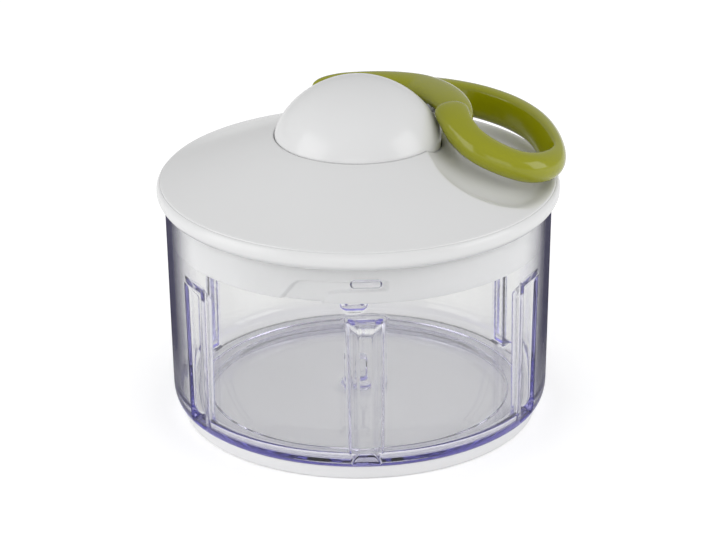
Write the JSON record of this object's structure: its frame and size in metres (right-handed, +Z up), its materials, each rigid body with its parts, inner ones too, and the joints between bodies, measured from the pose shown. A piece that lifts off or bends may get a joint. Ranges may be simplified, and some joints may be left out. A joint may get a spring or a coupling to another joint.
{
  "type": "pull cord food chopper",
  "caption": "Clear ribbed chopper bowl on a base lid, with a white twist lid, a domed recoil drive and a green ring handle that draws its cord.",
  "frame": {"origin": "centre of the base lid's flat underside, on the axis of the bowl, the lid and the drive", "axes": "+Z up along the axis of the bowl and the drive; the handle is pulled in the direction 20 degrees from +X towards +Y; the picture looks along +Y"},
  "size_m": [0.1591, 0.157, 0.1367],
  "materials": {
    "soft_white": "satin",
    "grey_rubber": "matte",
    "clear_plastic": "clear polished",
    "white_plastic": "fine satin gloss",
    "green_plastic": "gloss",
    "grey_plastic": "satin",
    "clear_silicone": "translucent",
    "bronze": "sintered",
    "steel": "plain",
    "cord": "braided"
  },
  "bodies": {
    "base": {"base_lid": "soft_white", "base_grip_ring": "grey_rubber"},
    "bowl": {"bowl": "clear_plastic"},
    "seal": {"lid_seal": "clear_silicone"},
    "lid": {"lid_cover": "white_plastic", "lid_carrier": "white_plastic", "dome_cap": "white_plastic", "cord_guide": "grey_plastic", "spring_arbor": "grey_plastic", "recoil_spring": "steel", "lower_bush": "bronze", "upper_bush": "bronze", "carrier_screw_1": "steel", "carrier_screw_2": "steel", "carrier_screw_3": "steel", "cord_run": "cord"},
    "handle": {"handle": "green_plastic", "knot_plug": "green_plastic", "cord_knot": "cord"},
    "spool": {"spool": "grey_plastic", "cord_winding": "cord", "clutch_plate": "steel"},
    "pawl_1": {"pawl_1": "steel"},
    "pawl_2": {"pawl_2": "steel"},
    "drive": {"drive_shaft": "grey_plastic", "ratchet_wheel": "grey_plastic", "thrust_washer": "steel", "shaft_clip": "steel"}
  },
  "joints": [
    {"name": "bowl_lift", "type": "slide", "parent": "base", "child": "bowl", "axis": [0, 0, 1], "range_m": [0, 0.05]},
    {"name": "lid_lift", "type": "slide", "parent": "bowl", "child": "seal", "axis": [0, 0, 1], "range_m": [0, 0.12]},
    {"name": "lid_turn", "type": "hinge", "parent": "seal", "child": "lid", "pos_m": [0, 0, 0.0912], "axis": [0, 0, 1], "range_deg": [0, 23.5]},
    {"name": "handle_pull", "type": "slide", "parent": "lid", "child": "handle", "axis": [0.9397, 0.342, 0], "range_m": [0, 0.4], "stiffness_N_per_m": 12, "springref_m": -0.25},
    {"name": "spool_spin", "type": "hinge", "parent": "lid", "child": "spool", "pos_m": [0, 0, 0.1087], "axis": [0, 0, 1], "range_deg": [-1281, 0]},
    {"name": "drive_spin", "type": "hinge", "parent": "lid", "child": "drive", "pos_m": [0, 0, 0.066], "axis": [0, 0, 1], "range_deg": [-1281, 0]},
    {"name": "pawl_1_swing", "type": "hinge", "parent": "spool", "child": "pawl_1", "pos_m": [0.00775, 0.01457, 0.1041], "axis": [0, 0, 1], "range_deg": [0, 12]},
    {"name": "pawl_2_swing", "type": "hinge", "parent": "spool", "child": "pawl_2", "pos_m": [-0.00775, -0.01457, 0.1041], "axis": [0, 0, 1], "range_deg": [0, 12]}
  ],
  "couplings": [
    {"joint": "spool_spin", "follows": "handle_pull", "rad_per_m": -55.866},
    {"joint": "drive_spin", "follows": "handle_pull", "rad_per_m": -55.866},
    {"joint": "pawl_2_swing", "follows": "pawl_1_swing", "ratio": 1}
  ]
}
